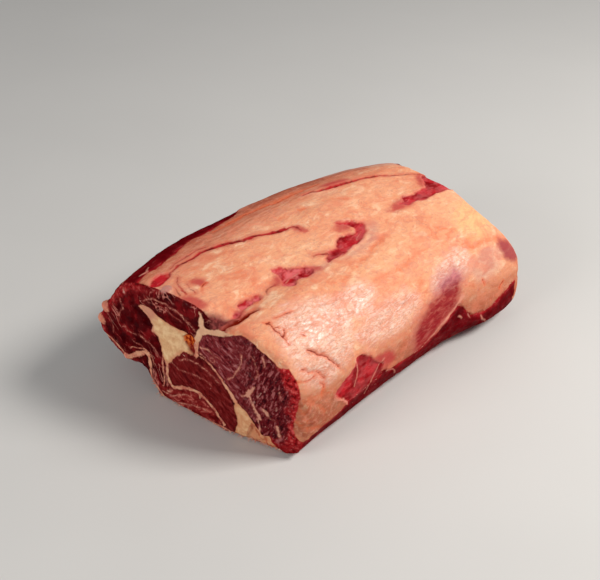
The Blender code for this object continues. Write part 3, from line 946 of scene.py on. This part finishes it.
def lean_on_the_cut(finish):
    """The cut muscles: colour, marbling with painted glints on the bright red edge, and fine relief."""
    eye = finish.drawn("eye").rise(1.0, -1.5)
    heart = finish.drawn("heart").rise(1.0, -1.5)
    strip = finish.drawn("strip").rise(1.0, -1.5)
    right = finish.measured((1, 0, 0)).rise(34.0, 66.0)
    slant = finish.slanting(-28, 2.4)
    steep = finish.slanting(68, 3.0)
    broad = finish.grain(10.0, 3.0)
    clumps = finish.grain(2.8, 3.0, None, 0.6, 0.4)
    fine = finish.grain(1.3, 3.0, None, 0.6)
    ribbed = finish.grain(3.0, 3.0, slant, 0.6, 0.3)
    upright = finish.grain(2.4, 3.0, steep, 0.6, 0.3)

    colour = finish.tones(broad, paint(56, 2, 6), paint(78, 6, 10), paint(114, 16, 20))
    torn = finish.grain(2.6, 3.0, finish.slanting(-40, 2.8), 0.55, 0.3).rise(0.6, 0.69)
    colour = finish.mix(colour, paint(170, 68, 64), torn * broad.rise(0.38, 0.54) * 0.7)
    lines = finish.threads(10.0, 0.03, finish.slanting(-52, 2.0), 0.45)
    colour = finish.mix(colour, paint(206, 124, 110), lines * 0.7)
    bands = finish.grain(2.8, 4.0, finish.slanting(-40, 2.6), 0.64, 0.5)
    heart_colour = finish.tones(bands, paint(82, 10, 12), paint(106, 22, 22), paint(132, 46, 44))
    heart_colour = finish.mix(heart_colour, paint(76, 6, 12), broad.rise(0.44, 0.32) * 0.6)
    colour = finish.mix(colour, heart_colour, heart)
    left_eye = finish.tones(ribbed, paint(78, 12, 20), paint(120, 38, 42), paint(166, 98, 98))
    right_eye = finish.tones(upright, paint(54, 6, 14), paint(96, 18, 24), paint(158, 86, 86))
    eye_colour = finish.mix(left_eye, right_eye, right)
    eye_colour = finish.mix(eye_colour, paint(186, 122, 116), fine.rise(0.6, 0.72) * 0.45)
    flecks = finish.grain(4.6, 2.0, steep, 0.6, 0.6).rise(0.66, 0.7)
    eye_colour = finish.mix(eye_colour, paint(196, 138, 126), flecks * 0.6)
    colour = finish.mix(colour, eye_colour, eye)
    curds = finish.grain(5.0, 4.0, finish.slanting(20, 1.8), 0.62, 0.5)
    strip_colour = finish.tones(curds, paint(88, 6, 10), paint(126, 30, 30), paint(188, 96, 84))
    colour = finish.mix(colour, strip_colour, strip)

    glow = finish.tones(finish.grain(4.0, 4.0, None, 0.62), paint(106, 8, 12), paint(172, 32, 36), paint(216, 86, 82))
    glow = finish.mix(glow, paint(96, 8, 12), finish.measured((0, 0, 1)).rise(26.0, 4.0) * 0.6)
    # painted glints: small pale specks over the bright red edge
    glow = finish.mix(glow, paint(222, 136, 128), fine.rise(0.62, 0.72) * 0.7)
    bright = (finish.drawn("bright") + (broad - 0.5) * 16 + (clumps - 0.5) * 8).rise(2.5, -4.5)
    shoulder = finish.measured((-1, 0, 0.35)).rise(58.0, 92.0)
    red_rim = (finish.drawn("rim") + (broad - 0.5) * 14 + (clumps - 0.5) * 6).rise(8.5, 1.0) * shoulder
    colour = finish.mix(colour, glow, bright.either(red_rim * 0.6))
    colour = finish.dim(colour, 1.2 - fine * 0.4)
    relief = clumps * 0.6 + ribbed * 0.35 + fine * 0.3
    return colour, relief


def fat_on_the_cut(finish, lean):
    """Seam fat, the big kernel of fat, the pit beside it and the veins, over the lean, with painted shade on the lean
    beside the seams.
    """
    wobble = (finish.grain(3.4, 4.0, None, 0.6) - 0.5) * 4.0
    fine = (finish.grain(1.1, 3.0) - 0.5) * 1.6
    mottle = finish.grain(4.5, 4.0, None, 0.6)
    off_vein = finish.drawn("vein") + fine * 1.3 + wobble * 0.4
    strength = 0.35 + finish.grain(6.0, 3.0, None, 0.6).rise(0.36, 0.52) * 0.65
    colour = finish.mix(lean, paint(172, 86, 76), off_vein.rise(1.3, -0.2) * strength * 0.45)
    colour = finish.mix(colour, paint(214, 152, 128), off_vein.rise(0.2, -0.7) * strength * 0.85)
    off_seam = finish.drawn("seam") + wobble * 0.6 + fine
    # painted shade: the lean darkened just beside the seams
    colour = finish.dim(colour, 1.0 - off_seam.rise(2.4, 0.6) * 0.2)
    seam = off_seam.rise(0.5, -0.4)
    seam_colour = finish.mix(paint(186, 104, 86), paint(216, 156, 124), mottle.rise(0.38, 0.6))
    crown = finish.measured((0, 0, 1)).rise(66.0, 78.0)
    seam_colour = finish.mix(seam_colour, paint(228, 186, 148), crown * 0.65)
    seam_colour = finish.mix(seam_colour, paint(176, 80, 70), off_seam.rise(-0.9, 0.3) * (0.75 - crown * 0.25))
    colour = finish.mix(colour, seam_colour, seam)
    off_cream = finish.drawn("cream") + wobble * 0.6 + fine * 0.8
    cream = off_cream.rise(0.5, -0.5)
    cream_colour = finish.mix(paint(208, 156, 112), paint(232, 194, 148), mottle.rise(0.3, 0.68))
    cream_colour = finish.mix(cream_colour, paint(204, 126, 94), off_cream.rise(-3.2, 0.2) * 0.75)
    wedge = finish.measured((1, 0, 0)).rise(20.0, 30.0)
    cream_colour = finish.mix(cream_colour, paint(204, 128, 88), wedge * (0.3 + mottle.rise(0.6, 0.4) * 0.25))
    tip = (finish.drawn("kernel_tip") + wobble).rise(2.0, -5.0)
    cream_colour = finish.mix(cream_colour, paint(198, 128, 108), tip * 0.8)
    colour = finish.mix(colour, cream_colour, cream)
    pit = (finish.drawn("pit") + wobble * 0.4).rise(0.8, -1.0)
    pit_colour = finish.mix(paint(132, 22, 6), paint(214, 106, 46), finish.grain(2.6, 3.0).rise(0.42, 0.56))
    pit_colour = finish.mix(paint(120, 14, 10), pit_colour, finish.measured((0, 0, 1)).rise(61.0, 66.0))
    colour = finish.mix(colour, pit_colour, pit)
    fat = seam.either(cream)
    relief = fat * (mottle * 0.25 + finish.grain(1.4, 2.0) * 0.1)
    return colour, fat, relief


def cap_fat(finish):
    """The fat cap: colour with painted sheen on its wrinkles and painted shade on its left side, lower right side,
    heel, valleys and folds; wet film and fine relief.
    """
    broad = finish.grain(34.0, 2.0, finish.lengthwise(1.6), 0.5, 0.4)
    drift = finish.grain(9.0, 5.0, finish.lengthwise(2.0), 0.6, 0.9)
    streaks = finish.grain(2.6, 4.0, finish.lengthwise(5.0), 0.6, 0.5)
    mottle = finish.grain(3.2, 5.0, finish.lengthwise(1.6), 0.68, 0.9)
    fine = finish.grain(1.1, 3.0, finish.lengthwise(1.5), 0.65)
    girth = finish.drawn("girth")
    left = girth.rise(-18.0, -60.0)
    wrinkled = (finish.drawn("wrinkled") + (drift - 0.5) * 18).rise(6.0, -7.0)

    colour = finish.tones(drift, paint(228, 136, 100), paint(236, 162, 122), paint(246, 198, 160))
    colour = finish.mix(colour, paint(242, 174, 134), broad.rise(0.42, 0.6) * 0.5)
    pale = (finish.drawn("pale") + (drift - 0.5) * 18).rise(8.0, -8.0)
    colour = finish.mix(colour, paint(242, 186, 142), pale * 0.5)
    colour = finish.mix(colour, paint(252, 212, 186), mottle.rise(0.54, 0.74) * 0.4)
    colour = finish.mix(colour, paint(224, 124, 96), mottle.rise(0.45, 0.28) * 0.45)
    # partly painted shade: the left shoulder browner and darker, partly its own tone and partly shade on the side
    # turned from the key light
    colour = finish.mix(colour, paint(184, 106, 84), left * 0.7)
    colour = finish.mix(colour, paint(168, 72, 50), streaks.rise(0.58, 0.38) * left * 0.6)
    # partly painted shade: darker still further down the left side, with a browner tone of its own
    colour = finish.mix(colour, paint(160, 66, 48), (girth - drift * 24).rise(-58.0, -84.0) * 0.6)
    colour = finish.mix(colour, paint(214, 128, 98), streaks.rise(0.6, 0.38) * (0.2 - left * 0.1))
    heel = finish.measured((0, -1, 0)).rise(60.0, 120.0)
    # painted shade: the fat darker low on the right side, towards the floor
    colour = finish.mix(colour, paint(168, 86, 62), girth.rise(104.0, 144.0) * 0.8)
    heel = heel * (girth + mottle * 24).rise(100.0, 140.0)
    # painted shade over the heel, then its own pale and dark mottling
    colour = finish.mix(colour, paint(168, 88, 64), heel * 0.5)
    colour = finish.mix(colour, paint(206, 156, 118), heel * mottle.rise(0.52, 0.62) * 0.5)
    colour = finish.mix(colour, paint(156, 64, 40), heel * drift.rise(0.46, 0.36) * 0.5)
    yellow = (finish.drawn("yellow") + (drift - 0.5) * 14).rise(9.0, -9.0)
    colour = finish.mix(colour, paint(240, 196, 132), yellow * 0.5)
    # partly painted shade: the valleys a deeper, darker salmon
    furrow = (finish.drawn("furrow") + (mottle - 0.5) * 6).rise(3.4, -2.4)
    colour = finish.mix(colour, paint(222, 112, 74), furrow * 0.6)
    veil = (finish.drawn("veil") + (drift - 0.5) * 10 + (mottle - 0.5) * 3).rise(4.0, -5.0)
    veil_colour = finish.mix(paint(198, 138, 124), paint(214, 168, 148), drift.rise(0.38, 0.6))
    colour = finish.mix(colour, veil_colour, veil * 0.6)
    crepe = abs(finish.grain(2.8, 3.0, finish.lengthwise(4.0), 0.6, 1.0) - 0.5)
    # painted sheen: the wrinkled fat whitened, most on the crepe's ridges
    colour = finish.mix(colour, paint(255, 218, 200), wrinkled * (0.3 + crepe.rise(0.0, 0.12) * 0.45))
    # painted shade: salmon in the crepe's hollows
    colour = finish.mix(colour, paint(224, 130, 100), wrinkled * crepe.rise(0.03, 0.0) * 0.5)
    # painted shade: darker salmon in the bottoms of the fine folds
    creases = finish.drawn("folds").rise(0.12, 0.0)
    colour = finish.mix(colour, paint(224, 134, 104), creases * (wrinkled * 0.35 + 0.08))
    hairs = finish.threads(12.0, 0.01, finish.lengthwise(1.5), 0.6)
    colour = finish.mix(colour, paint(160, 92, 92), hairs * 0.35)
    blotches = finish.grain(6.0, 4.0, finish.lengthwise(1.3), 0.66, 1.4)
    colour = finish.mix(colour, paint(212, 142, 118), blotches.rise(0.5, 0.38) * 0.45)
    colour = finish.mix(colour, paint(222, 106, 92), blotches.rise(0.6, 0.72) * 0.35)
    flushes = finish.grain(18.0, 3.0, finish.lengthwise(1.3), 0.6, 0.8)
    colour = finish.mix(colour, paint(226, 132, 102), flushes.rise(0.48, 0.36) * 0.4)
    colour = finish.dim(colour, 1.1 - fine * 0.2)

    right = girth.rise(40.0, 70.0)
    wet = wrinkled * (0.1 + drift.rise(0.36, 0.6) * 0.55) + veil * right * 0.3 + mottle.rise(0.5, 0.7) * right * 0.2
    relief = streaks * 0.4 + mottle * 0.6 + fine * 0.15 + crepe.rise(0.0, 0.16) * wrinkled * 0.25
    return colour, wet, relief


def lean_on_the_skin(finish):
    """Bare lean with its fibres lying along the roast."""
    fibres = finish.grain(2.2, 4.0, finish.lengthwise(5.0), 0.6, 0.5)
    patches = finish.grain(11.0, 3.0)
    fine = finish.grain(1.3, 3.0, finish.lengthwise(2.0), 0.6)
    colour = finish.mix(paint(128, 10, 16), paint(186, 34, 42), patches.rise(0.35, 0.65))
    colour = finish.dim(colour, 0.7 + fibres * 0.65)
    threads = fibres.rise(0.54, 0.7) * patches.rise(0.4, 0.58)
    colour = finish.mix(colour, paint(214, 110, 104), threads.either(fine.rise(0.62, 0.74) * 0.6) * 0.55)
    return colour, fibres * 0.8 + fine * 0.3


def stained_cap(finish, colour, broad, wobble):
    """The fat cap with the lean that shines through its thin places, its creases, whose dark cores are partly painted
    shade, and the plum hollow, partly plum lean and partly painted shade.
    """
    blush = (finish.drawn("blush") + broad * 0.7 + wobble * 0.9).rise(3.4, -3.6)
    far_end = finish.measured((0, 1, 0)).rise(100.0, 112.0) * finish.drawn("girth").rise(60.0, 80.0)
    colour = finish.mix(colour, finish.mix(paint(186, 64, 64), paint(150, 52, 66), far_end), blush * 0.85)
    streaky = finish.grain(3.6, 4.0, finish.lengthwise(2.6), 0.62, 0.5)
    off_stain = finish.drawn("stain") + broad * 1.3 + wobble * 1.1
    girth = finish.drawn("girth")
    stain_colour = finish.mix(paint(204, 124, 130), paint(150, 28, 38), girth.rise(101.0, 114.0))
    stain_colour = finish.mix(stain_colour, paint(206, 96, 96), streaky.rise(0.5, 0.7) * 0.3)
    stain_colour = finish.mix(stain_colour, paint(126, 14, 28), streaky.rise(0.5, 0.34) * 0.35)
    colour = finish.mix(colour, paint(206, 122, 108), off_stain.rise(13.0, 0.0) * 0.5)
    colour = finish.mix(colour, stain_colour, off_stain.rise(7.0, -4.5) * (0.7 + streaky.rise(0.66, 0.4) * 0.25))
    near_end = finish.measured((0, -1, 0)).rise(116.0, 130.0)
    # partly painted shade: the hollow by the notch is dark plum lean in shade, lighter up its bank
    plum = (finish.drawn("veil") + broad * 0.3 + wobble * 0.7).rise(3.6, -3.6) * near_end * girth.rise(4.0, 14.0)
    plum_colour = finish.mix(paint(84, 16, 24), paint(136, 56, 56), finish.grain(3.0, 3.0).rise(0.4, 0.64))
    lifted = finish.drawn("behind").rise(5.0, 14.0) * girth.rise(32.0, 20.0)
    plum_colour = finish.mix(plum_colour, paint(176, 96, 90), lifted * 0.8)
    colour = finish.mix(colour, plum_colour, plum * 0.95)
    off_crease = finish.drawn("crease") + wobble * 0.2
    colour = finish.mix(colour, paint(224, 106, 70), off_crease.rise(2.6, 0.3) * 0.6)
    # partly painted shade: the cracks' dark red core, partly the lean in them and partly shade
    return finish.mix(colour, paint(132, 28, 16), off_crease.rise(0.5, -0.1) * 0.9)


def raw_beef():
    """The finish of the whole roast."""
    finish = Finish("raw_beef")
    lean, lean_relief = lean_on_the_cut(finish)
    cut_colour, cut_fat, fat_relief = fat_on_the_cut(finish, lean)
    cut_relief = lean_relief * (1 - cut_fat) + fat_relief

    wobble = (finish.grain(3.0, 4.0, finish.lengthwise(1.8), 0.62) - 0.5) * 4.0
    broad = (finish.grain(9.0, 3.0) - 0.5) * 8.0
    cap, wet, cap_relief = cap_fat(finish)
    bare, bare_relief = lean_on_the_skin(finish)
    colour = stained_cap(finish, cap, broad, wobble)
    off_raw = finish.drawn("raw") + wobble * 0.9
    raw = off_raw.rise(1.1, -1.3)
    rim_fat = (finish.drawn("rim_fat") + wobble * 0.35).rise(0.5, -0.5)
    side = (finish.drawn("cap") + broad * 0.7 + wobble).rise(1.4, -1.4) * (1 - rim_fat)
    lean_share = raw.either(side)
    colour = finish.mix(colour, paint(218, 112, 100), off_raw.rise(3.0, 0.4) * 0.5)
    film = finish.grain(7.0, 3.0, finish.lengthwise(1.6), 0.55, 0.4).rise(0.36, 0.64)
    film = film * (0.4 + finish.measured((0, -1, 0)).rise(10.0, 40.0) * 0.6)
    film = film * (0.3 + finish.drawn("girth").rise(110.0, 80.0) * 0.7) * finish.drawn("girth").rise(-30.0, 0.0)
    colour = finish.mix(colour, finish.mix(bare, paint(222, 110, 110), film * raw * 0.9), lean_share)
    colour = finish.mix(colour, paint(80, 3, 9), finish.drawn("cap").rise(1.0, -6.0) * side * 0.8)
    patchy = finish.grain(15.0, 5.0, finish.lengthwise(2.4), 0.62, 0.5).rise(0.44, 0.66)
    deep = finish.drawn("cap").rise(-24.0, -36.0)
    colour = finish.mix(colour, paint(178, 92, 80), patchy * deep * side * 0.55)
    cut = (finish.drawn("cut") + wobble * 0.4).rise(0.8, -0.9)
    cut_lean = finish.mix(paint(112, 22, 22), paint(176, 42, 44), finish.grain(7.0, 3.0).rise(0.36, 0.6))
    rust = finish.measured((0, -1, 0)).rise(104.0, 112.0) * finish.drawn("girth").rise(20.0, 30.0)
    cut_lean = finish.mix(cut_lean, paint(116, 20, 6), rust)
    colour = finish.mix(colour, paint(198, 98, 82), (finish.drawn("cut") + wobble * 0.6).rise(4.0, 0.8) * 0.45)
    colour = finish.mix(colour, cut_lean, cut)
    strand = (finish.drawn("strand") + wobble * 0.45).rise(0.7, -0.6)
    colour = finish.mix(colour, paint(226, 152, 130), strand * (0.35 + wobble.rise(-0.8, 0.6) * 0.4))

    beds = finish.drawn("beds")
    under = finish.drawn("under")
    low_rim = rim_fat * finish.measured((0, 0, 1)).rise(26.0, 12.0) * finish.measured((0, -1, 0)).rise(100.0, 110.0)
    low_rim_colour = finish.mix(paint(176, 88, 58), paint(216, 152, 110), finish.grain(5.0, 4.0).rise(0.38, 0.54))
    colour = finish.mix(colour, low_rim_colour, low_rim * 0.7)
    colour = finish.mix(colour, bare, under * (1 - rim_fat) * 0.8)
    colour = finish.mix(colour, paint(208, 148, 136), beds.rise(0.2, 0.8) * 0.7)

    edge = (finish.drawn("behind") + wobble * 0.4).rise(-0.8, 0.8).either(rim_fat)
    colour = finish.mix(cut_colour, colour, edge)
    nodule = (finish.drawn("nodule") + (finish.grain(2.4, 3.0) - 0.5) * 0.5).rise(0.16, 0.42)
    nodule_colour = finish.mix(paint(222, 146, 116), paint(190, 136, 124), finish.measured((0, 0, 1)).rise(76.0, 90.0))
    nodule_colour = finish.mix(nodule_colour, paint(200, 106, 98), finish.grain(2.6, 3.0).rise(0.54, 0.42) * 0.5)
    colour = finish.mix(colour, nodule_colour, nodule * 0.9)
    skin_fat = 1 - lean_share.either(cut)
    skin_relief_now = cap_relief * skin_fat + bare_relief * (1 - skin_fat)
    relief = cut_relief * (1 - edge) + skin_relief_now * edge
    fat_share = cut_fat * (1 - edge) + skin_fat * edge
    gloss = finish.grain(3.4, 3.0).rise(0.36, 0.66)
    roughness = 0.5 - gloss * 0.18 - (1 - fat_share) * 0.06
    coat = edge * skin_fat * wet + edge * (1 - skin_fat) * gloss * finish.drawn("girth").rise(-20.0, 40.0) * 0.12
    coat = coat + (1 - edge) * gloss * 0.1
    return finish.surface(
        colour,
        roughness,
        relief,
        coat,
        Coat_Roughness=0.26,
        Subsurface_Weight=0.1,
        Subsurface_Radius=(1.0, 0.3, 0.18),
        Subsurface_Scale=1.4 * MM,
        Specular_IOR_Level=0.0,
    )


def shred_fat():
    """The finish of the torn shreds."""
    finish = Finish("shred_fat")
    colour = finish.mix(paint(206, 118, 98), paint(240, 188, 160), finish.grain(4.0, 3.0).rise(0.38, 0.6))
    return finish.surface(colour, 0.4, finish.grain(0.6, 2.0) * 0.1, Subsurface_Weight=0.1)


# ---------------------------------------------------------------- floor, light and camera


def plain_finish(name, colour, roughness):
    """A matt finish with a faint cloudiness."""
    finish = Finish(name)
    cloud = finish.grain(160.0, 2.0)
    return finish.surface(finish.dim(colour, 0.97 + cloud * 0.06), roughness)


def make_floor():
    """A wide pale floor."""
    data = bpy.data.meshes.new("floor")
    reach = 6.0
    corners = [(-reach, -reach, 0), (reach, -reach, 0), (reach, reach, 0), (-reach, reach, 0)]
    data.from_pydata(corners, [], [(0, 1, 2, 3)])
    floor = bpy.data.objects.new("floor", data)
    bpy.context.scene.collection.objects.link(floor)
    floor.data.materials.append(plain_finish("pale_floor", paint(206, 204, 200), 0.7))


def aim(thing, target):
    """Turns a lamp or camera to look at a point."""
    thing.rotation_euler = (Vector(target) - thing.location).to_track_quat("-Z", "Y").to_euler()


def add_lamp(name, towards, distance, size, power, tint=(1.0, 1.0, 1.0)):
    """A square soft light that stands in a direction from the roast."""
    data = bpy.data.lights.new(name, "AREA")
    data.size = size
    data.energy = power
    data.color = tint
    lamp = bpy.data.objects.new(name, data)
    middle = Vector((0, 0, 0.05))
    lamp.location = middle + Vector(towards).normalized() * distance
    aim(lamp, middle)
    bpy.context.scene.collection.objects.link(lamp)


def make_light():
    """A key from behind on the right, a wide fill from the front and a pale room."""
    add_lamp("key", (0.57, 0.42, 0.70), 1.5, 0.5, 22.5, (1.0, 0.97, 0.94))
    add_lamp("fill", (-0.15, -1.0, 0.40), 1.8, 0.9, 14.0, (1.0, 0.99, 0.98))
    world = bpy.data.worlds.new("studio")
    world.use_nodes = True
    background = world.node_tree.nodes["Background"]
    background.inputs["Color"].default_value = paint(236, 238, 242)
    background.inputs["Strength"].default_value = 0.28
    bpy.context.scene.world = world


def make_camera():
    """A long lens looking down on the cut face and the right side."""
    azimuth, elevation, distance = math.radians(42), math.radians(34), 1.0
    data = bpy.data.cameras.new("camera")
    data.lens = 72
    data.sensor_width = 36
    camera = bpy.data.objects.new("camera", data)
    target = Vector((-0.0127, -0.0087, 0.0445))
    back = Vector((math.sin(azimuth), -math.cos(azimuth), math.tan(elevation))).normalized()
    camera.location = target + back * distance
    aim(camera, target)
    bpy.context.scene.collection.objects.link(camera)
    bpy.context.scene.camera = camera
    bpy.context.scene.view_settings.view_transform = "Standard"


make_body()
make_floor()
make_light()
make_camera()
